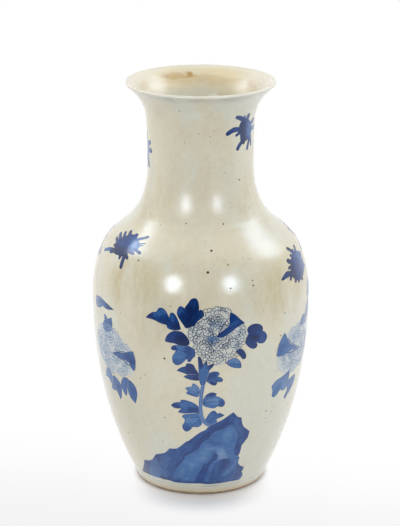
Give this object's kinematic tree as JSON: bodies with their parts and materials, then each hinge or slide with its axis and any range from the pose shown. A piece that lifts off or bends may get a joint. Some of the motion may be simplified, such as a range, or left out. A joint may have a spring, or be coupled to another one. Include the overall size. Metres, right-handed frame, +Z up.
{
  "type": "porcelain baluster vase",
  "caption": "Tall porcelain flower vase with a turned foot, ovoid body, rounded shoulder, waisted neck and trumpet mouth, glazed over painted cobalt plants.",
  "frame": {"origin": "centre of the foot's underside, on the table", "axes": "+Z up the vase's axis, -Y towards the painted front"},
  "size_m": [0.2274, 0.2274, 0.43],
  "materials": {
    "glazed_porcelain": "glossy greyish celadon glaze with iron specks and tea-coloured stains",
    "luting_slip": "smoothed slip under a thin glaze",
    "foot_porcelain": "glazed down to a bare, iron-brown foot rim",
    "cobalt_painting": "cobalt brushwork under the same glossy glaze"
  },
  "bodies": {
    "root": {"base_and_foot_ring": "foot_porcelain", "foot_luting_slip": "luting_slip", "lower_body_section": "glazed_porcelain", "belly_luting_slip": "luting_slip", "shoulder_section": "glazed_porcelain", "neck_luting_slip": "luting_slip", "neck_and_mouth_section": "glazed_porcelain"}
  },
  "joints": []
}
